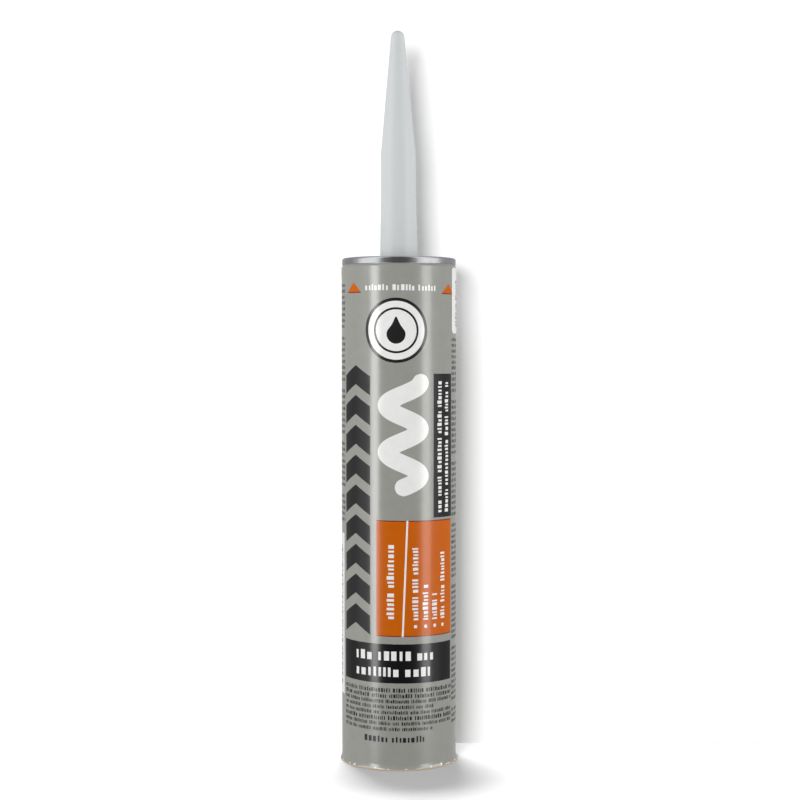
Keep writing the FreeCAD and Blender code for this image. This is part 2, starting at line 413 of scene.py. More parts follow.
def smooth(value: float) -> float:
    """Ease a value from 0 to 1, clamped."""
    value = min(1.0, max(0.0, value))
    return value * value * (3 - 2 * value)


def on_wall(radius: float, u: float, z: float, size: float) -> Vector:
    """Wrap a place of the label on a cylinder.

    Args:
        radius: Radius at that place, in millimetres.
        u: Arc from the middle of the front, measured at the label's own radius.
        z: Height above the tail.
        size: The label's own radius.

    Returns:
        The point in metres.
    """
    angle = u / size
    return Vector((radius * math.sin(angle), -radius * math.cos(angle), z)) * MM


def finish_piece(piece: bpy.types.Object, body: Body, replaces: tuple[str, ...] = ()
                 ) -> bpy.types.Object:
    """Give a piece its body and hide the nodes it stands for.

    Args:
        piece: The finished object.
        body: Body that it rides on.
        replaces: CAD nodes that it replaces.

    Returns:
        The same object.
    """
    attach(piece, body.value)
    if replaces:
        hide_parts(*replaces)
    LOG.info("%s: %d faces on %s", piece.name, len(piece.data.polygons), body.value)
    return piece


def linked(name: str, mesh: bpy.types.Mesh) -> bpy.types.Object:
    """Link a mesh to the scene as an object at the origin."""
    made = bpy.data.objects.new(name, mesh)
    bpy.context.scene.collection.objects.link(made)
    return made


def rounded_path(corners: list[Corner], closed: bool, step: float = 12.0) -> list[Place]:
    """Points of a section whose corners are rounded.

    Args:
        corners: Radius, height and bend of each corner.
        closed: Whether the last corner joins the first.
        step: Largest turn between two points of a bend, in degrees.

    Returns:
        The section's points.
    """
    path: list[Place] = []
    count = len(corners)
    for index, (r, z, bend) in enumerate(corners):
        here = Vector((r, z))
        if bend <= 0 or (not closed and index in (0, count - 1)):
            path.append((r, z))
            continue
        before = (Vector(corners[index - 1][:2]) - here).normalized()
        after = (Vector(corners[(index + 1) % count][:2]) - here).normalized()
        half = before.angle(after) / 2
        centre = here + (before + after).normalized() * (bend / math.sin(half))
        start = here + before * (bend / math.tan(half)) - centre
        turn = start.angle_signed(here + after * (bend / math.tan(half)) - centre)
        pieces = max(2, math.ceil(abs(math.degrees(turn)) / step))
        for number in range(pieces + 1):
            angle = -turn * number / pieces
            cosine, sine = math.cos(angle), math.sin(angle)
            path.append((centre.x + start.x * cosine - start.y * sine,
                         centre.y + start.x * sine + start.y * cosine))
    return path


def turned_mesh(name: str, path: list[Place], closed: bool, around: int,
                sharp: float = 32.0) -> bpy.types.Mesh:
    """Sweep a section about the Z axis.

    Args:
        name: Name of the mesh.
        path: Section points as radius and height, in millimetres; a point on the axis is a pole.
        closed: Whether the last point joins the first.
        around: Number of steps round the axis.
        sharp: Edges that turn more than this stay sharp, in degrees.

    Returns:
        The mesh, with its faces pointing outwards.
    """
    rows: list[list[int]] = []
    points: list[Vector] = []
    for radius, height in path:
        if radius < 1e-6:
            rows.append([len(points)] * around)
            points.append(Vector((0, 0, height)) * MM)
            continue
        rows.append(list(range(len(points), len(points) + around)))
        for number in range(around):
            angle = 2 * math.pi * number / around
            points.append(Vector((radius * math.cos(angle), radius * math.sin(angle),
                                  height)) * MM)
    faces = []
    last = len(rows) if closed else len(rows) - 1
    for index in range(last):
        low, high = rows[index], rows[(index + 1) % len(rows)]
        for number in range(around):
            after = (number + 1) % around
            loop = [low[number], low[after], high[after], high[number]]
            face = [vertex for place, vertex in enumerate(loop) if vertex != loop[place - 1]]
            if len(face) > 2:
                faces.append(face)
    mesh = bpy.data.meshes.new(name)
    mesh.from_pydata(points, [], faces)
    mesh.update()
    mesh.shade_smooth()
    mesh.set_sharp_from_angle(angle=math.radians(sharp))
    return mesh


@dataclass
class Field:
    """One field of print: an outline on the label and its ink."""

    ink: Ink
    outline: list[Place]


def block(ink: Ink, left: float, right: float, low: float, high: float,
          lean: float = 0.0) -> Field:
    """A four-sided field, its top moved sideways by lean."""
    return Field(ink, [(left, low), (right, low), (right + lean, high), (left + lean, high)])


def disc(ink: Ink, u: float, z: float, radius: float, sides: int = 56) -> Field:
    """A round field."""
    turns = [2 * math.pi * number / sides for number in range(sides)]
    return Field(ink, [(u + radius * math.cos(t), z + radius * math.sin(t)) for t in turns])


def ribbon(ink: Ink, u: float, low: float, high: float, sway: float, waves: float,
           half_width: float) -> Field:
    """A wavy bead that runs up the label.

    Args:
        ink: The bead's ink.
        u: Middle of the bead.
        low: Lower end.
        high: Upper end.
        sway: How far its middle line swings to each side.
        waves: Number of full swings.
        half_width: Half of the bead's width.

    Returns:
        The field.
    """
    start, end = low + half_width, high - half_width
    steps = 220
    middle = []
    for number in range(steps + 1):
        share = number / steps
        middle.append((u + sway * math.sin(2 * math.pi * waves * share), start
                       + (end - start) * share))
    heights = [low + (high - low) * number / 90 for number in range(91)]
    right, left = [], []
    for z in heights:
        near = [(x, math.sqrt(max(0.0, half_width ** 2 - (z - y) ** 2)))
                for x, y in middle if abs(z - y) <= half_width + 1e-9]
        right.append((max(x + reach for x, reach in near), z))
        left.append((min(x - reach for x, reach in near), z))
    if right[0][0] - left[0][0] < 0.05:
        left = left[1:]
    if right[-1][0] - left[-1][0] < 0.05:
        left = left[:-1]
    return Field(ink, right + left[::-1])


@dataclass
class Chip:
    """A place at the tail where the print has come off, with its height at both ends."""

    left: float
    right: float
    left_tall: float
    right_tall: float
    ink: Ink = Ink.PAPER

    def field(self, foot: float, rng: random.Random) -> Field:
        """Draw the chip with a ragged top edge.

        Args:
            foot: Height of the label's lower edge.
            rng: Source of the ragged edge.

        Returns:
            The chip's field.
        """
        steps = max(3, round((self.right - self.left) / 0.45))
        ragged = []
        for number in range(steps + 1):
            share = number / steps
            tall = self.left_tall + (self.right_tall - self.left_tall) * share
            ragged.append((self.left + (self.right - self.left) * share,
                           foot + tall * rng.uniform(0.7, 1.0)))
        return Field(self.ink, [(self.left, foot), (self.right, foot)] + ragged[::-1])


@dataclass
class LabelPrint:
    """Plain print of the label: fields of colour and simple shapes."""

    slant: float = 0.0105       # the print runs down to the right by this much of its width
    foot: float = 0.55          # lower edge of the label
    far_end: float = 99.0       # where the flat label ends

    def slanted(self, u: float, z: float) -> Place:
        """Lean a place with the print."""
        return u, z - self.slant * u

    def fields(self) -> list[Field]:
        """Return every field of print, the lowest layer first."""
        made = self.arrows() + self.roundel() + self.chevrons()
        made.append(ribbon(Ink.WHITE, 2.0, 115.6, 167.0, 7.4, 2.25, 3.7))
        made += self.panels() + self.side_panel()
        for item in made:
            item.outline = [self.slanted(u, z) for u, z in item.outline]
        return made + self.chips()

    def chips(self) -> list[Field]:
        """Places along the tail where the print has chipped off the paper."""
        rng = random.Random(29)
        made = [Chip(-18.6, -9.9, 0.3, 1.0, Ink.SCUFF), Chip(-10.9, -9.6, 0.9, 1.15),
                Chip(-9.5, -5.8, 0.4, 0.25), Chip(-21.7, -20.6, 0.6, 1.1),
                Chip(7.2, 14.7, 0.2, 1.1, Ink.SCUFF), Chip(13.8, 14.8, 0.6, 1.1),
                Chip(14.9, 19.5, 0.9, 1.1, Ink.SCUFF), Chip(19.4, 20.5, 1.0, 1.35),
                Chip(22.6, 25.8, 0.3, 0.3)]
        u = -53.0
        while u < self.far_end - 4.0:
            width = rng.uniform(0.4, 1.6)
            clear = all(u + width < chip.left - 0.4 or u > chip.right + 0.4 for chip in made)
            if abs(u) > 32.0:
                width *= rng.choice((1.0, 2.5, 4.0))
            if clear and u + width < self.far_end - 1.0:
                tall = rng.uniform(0.15, 0.6)
                made.append(Chip(u, u + width, tall, tall))
            u += width + rng.uniform(1.8, 9.0)
        return [chip.field(self.foot, rng) for chip in made]

    def arrows(self) -> list[Field]:
        """Small arrow heads beside the top line."""
        made = []
        foot, tip, edge = 201.0, 205.1, 200.55
        for left, right in ((-26.2, -17.4), (20.4, 29.6)):
            middle = (left + right) / 2
            made.append(Field(Ink.ORANGE, [(left, foot), (right, foot), (middle, tip)]))
            made.append(block(Ink.RUST, left, right, edge, foot))
        return made

    def roundel(self) -> list[Field]:
        """White roundel with a ring and a plain drop."""
        u, z = -1.2, 185.0
        drop = []
        for number in range(40):
            turn = 2 * math.pi * number / 40
            reach = 4.0 if math.sin(turn) < 0 else 4.0 + 3.4 * math.sin(turn) ** 6
            squeeze = 1.0 - 0.45 * max(0.0, math.sin(turn)) ** 3
            drop.append((u + 4.0 * math.cos(turn) * squeeze, z - 1.6 + reach * math.sin(turn)))
        rings = [disc(ink, u, z, radius) for ink, radius in (
            (Ink.CHARCOAL, 13.6), (Ink.WHITE, 12.3), (Ink.CHARCOAL, 9.6), (Ink.WHITE, 8.7))]
        return rings + [Field(Ink.CHARCOAL, drop)]

    def chevrons(self) -> list[Field]:
        """Column of dark chevrons up the left side of the front."""
        made = []
        left, right = -28.2, -12.6
        middle = (left + right) / 2
        low, pitch, thick, rise = 56.8, 12.6, 8.0, 4.6
        for number in range(9):
            z = low + number * pitch
            made.append(Field(Ink.CHARCOAL, [
                (left, z), (middle, z + rise), (right, z), (right, z + thick),
                (middle, z + thick + rise), (left, z + thick)]))
        return made

    def panels(self) -> list[Field]:
        """Dark side panel, orange panel with a slanting divide, and the black band."""
        left, right, low, high, edge = -9.7, 27.2, 56.5, 105.4, 0.45
        return [block(Ink.CHARCOAL, 15.6, 27.6, 106.4, 167.0),
                block(Ink.RUST, left, right, low, high),
                block(Ink.ORANGE, left, right, low + edge, high - edge),
                Field(Ink.WHITE, [(1.2, low), (2.0, low), (4.0, high), (3.2, high)]),
                block(Ink.BLACK, -28.8, 26.9, 36.9, 53.4)]

    def side_panel(self) -> list[Field]:
        """White panel with plain bars on the left side, and a heading bar on the back."""
        made = [block(Ink.BLACK, 60.0, 93.0, 154.5, 161.5),
                block(Ink.ORANGE, 60.0, 93.0, 46.5, 48.5),
                block(Ink.WHITE, -52.5, -30.6, 29.0, 98.0)]
        rng = random.Random(11)
        z = 33.0
        while z < 92.5:
            thick = rng.choice((0.5, 0.8, 1.2, 1.7))
            made.append(block(Ink.BLACK, -49.5, -33.6, z, z + thick))
            z += thick + rng.choice((0.6, 0.9, 1.4))
        return made


@dataclass
class PrintedLabel:
    """Printed paper label with its lap, on the board tube."""

    wall: Wall = field(default_factory=Wall)
    foot: float = 0.55
    paper: float = 0.15
    lap_free_edge: float = -127.7       # degrees from the front
    lap_width: float = 8.0
    lap_ramp: float = 1.4
    column: float = 1.6
    pucker_foot: float = 205.5
    pucker_rise: float = 4.0
    pucker_end: float = 211.6
    pucker_depth: float = 0.13

    def __post_init__(self) -> None:
        """Work out where the flat label starts and ends."""
        self.start = math.radians(self.lap_free_edge) * self.wall.radius
        self.end = self.start + 2 * math.pi * self.wall.radius

    def lap_at(self, u: float) -> float:
        """Extra radius where the label laps over its other end."""
        ramp = self.lap_ramp
        return self.paper * smooth((u - (self.end - self.lap_width - ramp)) / ramp)

    def pucker_at(self, u: float, z: float) -> float:
        """Small loose waves of the paper under the rim."""
        near = smooth((z - self.pucker_foot) / self.pucker_rise) \
            * (1 - smooth((z - self.pucker_end) / 1.4))
        turn = u / self.wall.radius
        seed = Vector((math.cos(turn) * 2.6, math.sin(turn) * 2.6, z * 0.12))
        return near * self.pucker_depth * max(0.0, 0.45 + noise.noise(seed))

    def radius_at(self, u: float, z: float) -> float:
        """Radius of the label's face at a place."""
        wall = self.wall
        lap = self.lap_at(u) * (1 - smooth((z - wall.neck_start) / 1.0))
        return wall.radius + wall.flare_at(z) - wall.neck_at(z) + lap + self.pucker_at(u, z)

    def normal_at(self, u: float, z: float) -> Vector:
        """Outward normal of the label's face at a place."""
        reach = 0.05
        across = on_wall(self.radius_at(u + reach, z), u + reach, z, self.wall.radius) \
            - on_wall(self.radius_at(u - reach, z), u - reach, z, self.wall.radius)
        upward = on_wall(self.radius_at(u, z + reach), u, z + reach, self.wall.radius) \
            - on_wall(self.radius_at(u, z - reach), u, z - reach, self.wall.radius)
        return across.cross(upward).normalized()

    def heights(self) -> list[float]:
        """Heights of the level lines that let the label follow the wall."""
        wall = self.wall
        made = [self.foot, 0.9, 1.3, 1.7, 2.1, wall.flare_height]
        made += [12.0 * number for number in range(1, 17)]
        made += [205.5, 207.0, 208.5, 210.0, 211.0, 211.7]
        steps = 6
        made += [wall.neck_start + (wall.neck_end - wall.neck_start) * number / steps
                 for number in range(steps + 1)]
        return made + [wall.top]

    def cut_flat(self, fields: list[Field]) -> tuple[list[Place], list[list[int]], list[Ink]]:
        """Cut the flat label along its print and its grid.

        Args:
            fields: Print, the lowest layer first.

        Returns:
            Places, triangles and the ink of each triangle.
        """
        points: list[Vector] = []
        edges: list[tuple[int, int]] = []
        loops: list[list[int]] = []

        def stretch(start: Place, end: Place) -> None:
            """Add one grid line."""
            edges.append((len(points), len(points) + 1))
            points.extend((Vector(start), Vector(end)))

        columns = round((self.end - self.start) / self.column)
        heights = self.heights()
        for number in range(columns + 1):
            u = self.start + (self.end - self.start) * number / columns
            stretch((u, heights[0]), (u, heights[-1]))
        ramp_start = self.end - self.lap_width - self.lap_ramp
        for number in range(1, 4):
            u = ramp_start + self.lap_ramp * number / 4
            stretch((u, heights[0]), (u, heights[-1]))
        for z in heights:
            stretch((self.start, z), (self.end, z))
        for item in fields:
            loops.append(list(range(len(points), len(points) + len(item.outline))))
            points.extend(Vector(place) for place in item.outline)
        out = delaunay_2d_cdt(points, edges, loops, 0, 1e-5, True)
        inks = []
        for sources in out[5]:
            inks.append(fields[max(sources)].ink if sources else Ink.GREY)
        return [(p.x, p.y) for p in out[0]], [list(face) for face in out[2]], inks

    def build(self, fields: list[Field], inks: list[Material]) -> bpy.types.Object:
        """Build the label as a closed shell.

        Args:
            fields: Print, the lowest layer first.
            inks: One material for each ink.

        Returns:
            The label's object.
        """
        flat, triangles, colours = self.cut_flat(fields)
        size = self.wall.radius
        count = len(flat)
        outer = [on_wall(self.radius_at(u, z), u, z, size) for u, z in flat]
        start_column = {round(z, 4): index for index, (u, z) in enumerate(flat)
                        if abs(u - self.start) < SAME_PLACE}
        inner_index = []
        inner = []
        for index, (u, z) in enumerate(flat):
            if abs(u - self.end) < SAME_PLACE and round(z, 4) in start_column:
                inner_index.append(None)
                continue
            inner_index.append(count + len(inner))
            under = self.wall.board + self.wall.flare_at(z) - self.wall.neck_at(z)
            inner.append(on_wall(under, u, z, size))
        for index, (u, z) in enumerate(flat):
            if inner_index[index] is None:
                inner_index[index] = inner_index[start_column[round(z, 4)]]
        faces = [tuple(face) for face in triangles]
        slots = [ink.value for ink in colours]
        skin = len(faces)
        faces += [tuple(inner_index[v] for v in reversed(face)) for face in triangles]
        slots += [Ink.PAPER.value] * skin
        level = {}
        for low in (self.foot, self.wall.top):
            level[low] = sorted((u, index) for index, (u, z) in enumerate(flat)
                                if abs(z - low) < SAME_PLACE)
        for low, ring in level.items():
            for (_, first), (_, second) in zip(ring, ring[1:]):
                quad = (second, first, inner_index[first], inner_index[second])
                faces.append(quad if low == self.foot else quad[::-1])
                slots.append(Ink.PAPER.value)
        ends = []
        for edge in (self.start, self.end):
            ends.append(sorted((z, index) for index, (u, z) in enumerate(flat)
                               if abs(u - edge) < SAME_PLACE))
        for low, high in zip(range(len(ends[0]) - 1), range(1, len(ends[0]))):
            faces.append((ends[0][high][1], ends[0][low][1], ends[1][low][1], ends[1][high][1]))
            slots.append(Ink.PAPER.value)
        faces.append((ends[0][0][1], ends[1][0][1], inner_index[ends[0][0][1]]))
        slots.append(Ink.PAPER.value)
        mesh = bpy.data.meshes.new("printed_label")
        mesh.from_pydata(outer + inner, [], faces)
        for material in inks:
            mesh.materials.append(material)
        mesh.polygons.foreach_set("material_index", slots)
        mesh.update()
        mesh.shade_smooth()
        exact = [self.normal_at(u, z) for u, z in flat]
        normals = []
        for polygon in mesh.polygons:
            for loop in polygon.loop_indices:
                vertex = mesh.loops[loop].vertex_index
                normals.append(exact[vertex] if polygon.index < skin else polygon.normal)
        mesh.normals_split_custom_set([tuple(normal) for normal in normals])
        return linked("printed_label", mesh)


@dataclass
class Mark:
    """One small printed mark: its middle, width and height on the label."""

    u: float
    z: float
    width: float
    height: float


@dataclass
class Sticker:
    """White sticker on the right side; its solid stays as modelled."""

    radius: float = 24.75
    edge_angle: float = 65.7       # its near edge, degrees from the front
    foot: float = 183.8

    def at(self, angle: float) -> float:
        """Arc from the front at an angle in degrees."""
        return math.radians(angle) * self.radius


@dataclass
class FinePrint:
    """Rows of plain marks where small print would be."""

    lean: float = 0.0105
    seed: int = 5
    proud: float = 0.012        # how far the ink stands out of its surface
    sunk: float = 0.03

    def __post_init__(self) -> None:
        """Start the row's random choices."""
        self.rng = random.Random(self.seed)
        self.marks: dict[Ink, list[Mark]] = {}

    def row(self, ink: Ink, u: float, z: float, length: float, size: float,
            upright: bool = False, bold: float = 1.0) -> None:
        """Add one row of marks.

        Args:
            ink: The row's ink.
            u: Left end, or middle for a row that runs up the label.
            z: Middle height, or lower end for a row that runs up the label.
            length: Length of the row.
            size: Height of its marks.
            upright: Whether the row runs up the label.
            bold: Width of the strokes against plain ones.
        """
        rng = self.rng
        stroke = 0.24 * size * bold
        place = 0.0
        in_word = rng.randint(3, 9)
        while True:
            width = stroke * rng.choice((1.0, 1.0, 1.3, 1.9))
            if place + width > length:
                break
            height = size * rng.choice((1.0, 1.0, 0.78, 0.78, 0.9))
            shift = -0.5 * (size - height)
            centre = place + width / 2
            if upright:
                self.add(ink, Mark(u - shift, z + centre, height, width))
            else:
                self.add(ink, Mark(u + centre, z + shift, width, height))
            place += width + stroke * rng.choice((0.75, 0.95, 1.15))
            in_word -= 1
            if in_word == 0:
                place += 0.5 * size
                in_word = rng.randint(4, 16)

    def add(self, ink: Ink, mark: Mark) -> None:
        """Add one mark, leaning with the print."""
        mark.z -= self.lean * mark.u
        self.marks.setdefault(ink, []).append(mark)

    def fill_sticker(self, sticker: Sticker) -> None:
        """Lay out the rows of the sticker, running up it from its near edge."""
        left = sticker.at(sticker.edge_angle)
        for number in range(4):
            self.row(Ink.CHARCOAL, left + 6.2 + 4.6 * number, sticker.foot + 3.0, 21.5, 2.4,
                     upright=True, bold=1.3)
        for number in range(8):
            self.row(Ink.CHARCOAL, left + 25.0, sticker.foot + 24.0 - 2.7 * number, 26.0, 1.5)

    def fill(self) -> None:
        """Lay out every row of the label."""
        self.row(Ink.WHITE, -15.0, 202.9, 32.0, 2.5, bold=1.25)
        for u in (19.0, 23.6):
            self.row(Ink.WHITE, u, 108.5, 56.0, 2.5, upright=True, bold=1.2)
        self.row(Ink.WHITE, -3.6, 64.0, 32.5, 3.1, upright=True, bold=1.1)
        for u, top in ((7.0, 95.0), (11.6, 79.0), (16.2, 75.0), (20.8, 92.5)):
            self.row(Ink.WHITE, u, 63.5, top - 63.5, 2.6, upright=True, bold=1.05)
            self.add(Ink.WHITE, Mark(u + 0.1, 60.8, 1.3, 1.3))
        for z, length in ((48.4, 37.0), (41.6, 34.5)):
            self.row(Ink.WHITE, -20.0, z, length, 3.9, bold=1.25)
        for number in range(8):
            z = 33.9 - 2.34 * number
            large = number in (0, 1, 5)
            length = 56.0 if number % 4 != 3 else 44.0
            self.row(Ink.CHARCOAL, -28.4, z, length, 1.75 if large else 1.5,
                     bold=1.1 if large else 0.9)
        self.row(Ink.CHARCOAL, -15.5, 13.2, 28.0, 2.6, bold=1.2)
        for u, top, pitch, rows, gap, long, short, every, size, bold in (
                (-54.5, 204.0, 2.5, 41, 9, 25.2, 25.2, 5, 1.5, 1.0),
                (28.3, 181.5, 2.4, 69, 11, 26.0, 17.0, 5, 1.5, 1.1),
                (61.0, 150.0, 2.9, 34, 8, 31.0, 22.0, 4, 1.6, 1.0)):
            for number in range(rows):
                if number % gap != gap - 1:
                    self.row(Ink.CHARCOAL, u, top - pitch * number,
                             long if number % every else short, size, bold=bold)
        self.row(Ink.WHITE, 63.5, 157.2, 26.0, 3.2, bold=1.2)

    def build(self, name: str, ink: Ink, radius: float, material: Material
              ) -> bpy.types.Object:
        """Build the marks of one ink as thin plates on the wall.

        Args:
            name: Name of the piece.
            ink: Ink of the marks to build.
            radius: Radius of the surface that carries them.
            material: Their material.

        Returns:
            One object with all the marks.
        """
        marks = self.marks[ink]
        mesh = bpy.data.meshes.new("marks")
        mesh.from_pydata([(m.u * MM, 0.0, m.z * MM) for m in marks], [], [])
        for size, values in (("mark_width", [m.width * MM for m in marks]),
                             ("mark_height", [m.height * MM for m in marks])):
            mesh.attributes.new(size, "FLOAT", "POINT").data.foreach_set("value", values)
        carrier = linked("marks", mesh)
        tree = wrapped_marks_tree()
        return grown(name, carrier, tree, {
            "Radius": radius * MM, "Proud": self.proud * MM, "Sunk": self.sunk * MM,
            "Material": material})


def socket_named(tree: bpy.types.NodeTree, name: str) -> str:
    """Return the identifier of a tree's input."""
    return next(item.identifier for item in tree.interface.items_tree
                if item.item_type == "SOCKET" and item.in_out == "INPUT" and item.name == name)


def grown(name: str, carrier: bpy.types.Object, tree: bpy.types.NodeTree, inputs: dict
          ) -> bpy.types.Object:
    """Run a geometry tree on an object and keep the result as a plain mesh.

    Args:
        name: Name of the finished piece.
        carrier: Object that the tree reads; it is removed.
        tree: The geometry tree.
        inputs: Values for the tree's named inputs.

    Returns:
        The finished piece.
    """
    modifier = carrier.modifiers.new("grow", "NODES")
    modifier.node_group = tree
    for key, value in inputs.items():
        modifier[socket_named(tree, key)] = value
    seen = carrier.evaluated_get(bpy.context.evaluated_depsgraph_get())
    mesh = bpy.data.meshes.new_from_object(seen)
    carrier.modifiers.remove(modifier)
    bpy.data.objects.remove(carrier)
    mesh.name = name
    return linked(name, mesh)


def geometry_tree(name: str, inputs: list[tuple[str, str, object]]
                  ) -> tuple[bpy.types.NodeTree, NodeSketch, bpy.types.Node, bpy.types.Node]:
    """Start a geometry tree with named inputs.

    Args:
        name: Name of the tree.
        inputs: Name, socket type and first value of each input.

    Returns:
        The tree, its sketch, its input node and its output node.
    """
    tree = bpy.data.node_groups.new(name, "GeometryNodeTree")
    face = tree.interface
    face.new_socket("Geometry", in_out="INPUT", socket_type="NodeSocketGeometry")
    for label, kind, value in inputs:
        socket = face.new_socket(label, in_out="INPUT", socket_type=kind)
        if value is not None:
            socket.default_value = value
    face.new_socket("Geometry", in_out="OUTPUT", socket_type="NodeSocketGeometry")
    sketch = NodeSketch(tree)
    return tree, sketch, sketch.add("NodeGroupInput"), sketch.add("NodeGroupOutput")


def wrapped_marks_tree() -> bpy.types.NodeTree:
    """Geometry tree that lays a thin plate at each point and wraps them on the wall."""
    tree, sketch, given, result = geometry_tree("wrapped_marks", [
        ("Radius", "NodeSocketFloat", 0.0246), ("Proud", "NodeSocketFloat", 0.00002),
        ("Sunk", "NodeSocketFloat", 0.00003), ("Material", "NodeSocketMaterial", None)])
    width = sketch.add("GeometryNodeInputNamedAttribute", {"Name": "mark_width"},
                       data_type="FLOAT").outputs[0]
    height = sketch.add("GeometryNodeInputNamedAttribute", {"Name": "mark_height"},
                        data_type="FLOAT").outputs[0]
    thick = sketch.math("ADD", given.outputs["Proud"], given.outputs["Sunk"])
    plate = sketch.add("GeometryNodeMeshCube", {
        "Size": (1.0, 1.0, 1.0), "Vertices X": 3, "Vertices Y": 2, "Vertices Z": 2})
    scale = sketch.add("ShaderNodeCombineXYZ", {0: width, 1: thick, 2: height})
    placed = sketch.add("GeometryNodeInstanceOnPoints", {
        "Points": given.outputs["Geometry"], "Instance": plate.outputs[0],
        "Scale": scale.outputs[0]})
    real = sketch.add("GeometryNodeRealizeInstances", {"Geometry": placed.outputs[0]})
    place = sketch.add("ShaderNodeSeparateXYZ", {
        0: sketch.add("GeometryNodeInputPosition").outputs[0]})
    middle = sketch.math("MULTIPLY", sketch.math(
        "SUBTRACT", given.outputs["Proud"], given.outputs["Sunk"]), 0.5)
    radius = sketch.math("ADD", sketch.math("ADD", given.outputs["Radius"], middle),
                         sketch.math("MULTIPLY", place.outputs[1], -1.0))
    angle = sketch.math("DIVIDE", place.outputs[0], given.outputs["Radius"])
    x = sketch.math("MULTIPLY", radius, sketch.math("SINE", angle))
    y = sketch.math("MULTIPLY", sketch.math("MULTIPLY", radius, -1.0),
                    sketch.math("COSINE", angle))
    spot = sketch.add("ShaderNodeCombineXYZ", {0: x, 1: y, 2: place.outputs[2]})
    wrapped = sketch.add("GeometryNodeSetPosition", {
        "Geometry": real.outputs[0], "Position": spot.outputs[0]})
    dressed = sketch.add("GeometryNodeSetMaterial", {
        "Geometry": wrapped.outputs[0], "Material": given.outputs["Material"]})
    sketch.link(dressed.outputs[0], result.inputs[0])
    return tree


@dataclass
class MetalEnd:
    """Seamed tinplate end, from its skirt to the boss round the nozzle."""

    sheet: float = 0.30
    rim: float = 24.45
    top: float = 216.0
    skirt: float = 213.1
    chuck: float = 22.65
    countersink: float = 210.8
    inner: float = 20.9
    panel: float = 212.2
    boss: float = 11.8
    boss_top: float = 215.2
    hole: float = 7.75

    def section(self) -> list[Place]:
        """Return the closed section of the sheet, counter-clockwise."""
        t = self.sheet
        outside = [
            (self.rim - t, self.skirt + 0.16, 0.0), (self.rim - 0.10, self.skirt, 0.0),
            (self.rim, self.skirt + 0.12, 0.0), (self.rim, self.top, 1.0),
            (self.chuck, self.top, 0.5), (self.chuck, self.countersink, 0.6),
            (self.inner, self.countersink, 0.6), (self.inner, self.panel, 0.8),
            (self.boss, self.panel, 0.8), (self.boss, self.boss_top, 0.9),
            (self.hole, self.boss_top, 0.0)]
        inside = [
            (self.hole, self.boss_top - t, 0.0), (self.boss - t, self.boss_top - t, 0.6),
            (self.boss - t, self.panel - t, 1.1), (self.inner - t, self.panel - t, 0.5),
            (self.inner - t, self.countersink - t, 0.9),
            (self.chuck + t, self.countersink - t, 0.9), (self.chuck + t, self.top - t, 0.2),
            (self.rim - t, self.top - t, 0.7)]
        return rounded_path(outside + inside, closed=True, step=15.0)

    def build(self, material: Material) -> bpy.types.Object:
        """Build the end and give it its material."""
        mesh = turned_mesh("seamed_end", self.section(), True, 288)
        mesh.materials.append(material)
        return linked("seamed_end", mesh)


@dataclass
class Nozzle:
    """Moulded nozzle with a closed tip."""

    wall: float = 1.4
    flange: float = 11.35
    flange_low: float = 212.7
    flange_top: float = 214.9
    waist: float = 7.7
    waist_top: float = 215.3
    collar: float = 8.0
    collar_top: float = 220.3
    barrel: float = 7.5
    barrel_start: float = 242.0
    shoulder: float = 260.3
    blend: float = 40.0
    tip: float = 2.9
    top: float = 313.5
    bore_end: float = 307.5
    lean: float = 0.0060         # sideways drift to the left, for each millimetre above the collar

    def section(self) -> list[Place]:
        """Return the section from the tip, down the outside and up the bore."""
        centre = self.top - self.tip
        rise = centre - self.shoulder
        lean = math.atan2(self.barrel, rise) - math.asin(
            self.tip / math.hypot(self.barrel, rise))
        dome = []
        steps = 12
        for number in range(steps):
            turn = math.pi / 2 - (math.pi / 2 - lean) * number / steps
            dome.append((max(0.0, self.tip * math.cos(turn)), centre + self.tip * math.sin(turn)))
        dome[0] = (0.0, self.top)
        touch = (self.tip * math.cos(lean), centre + self.tip * math.sin(lean), 0.0)
        end_radius = self.barrel - (self.bore_end - self.shoulder) * math.tan(lean) - self.wall
        side = rounded_path([
            touch, (self.barrel, self.shoulder, self.blend),
            (self.barrel, self.barrel_start, 0.0), (self.collar, self.collar_top, 0.0),
            (self.collar, self.waist_top, 0.25), (self.waist, self.waist_top, 0.0),
            (self.waist, self.flange_top, 0.0), (self.flange, self.flange_top, 0.6),
            (self.flange, self.flange_low, 0.6),
            (self.waist - self.wall, self.flange_low, 0.0),
            (self.barrel - self.wall, self.barrel_start, 0.0),
            (self.barrel - self.wall, self.shoulder, self.blend),
            (end_radius, self.bore_end, 0.0), (0.0, self.bore_end, 0.0)], False, 0.8)
        return (dome + side)[::-1]

    def build(self, material: Material) -> bpy.types.Object:
        """Build the nozzle and give it its material."""
        mesh = turned_mesh("moulded_nozzle", self.section(), False, 160, sharp=40.0)
        for vertex in mesh.vertices:
            vertex.co.x -= self.lean * max(0.0, vertex.co.z - self.collar_top * MM)
        mesh.materials.append(material)
        return linked("moulded_nozzle", mesh)


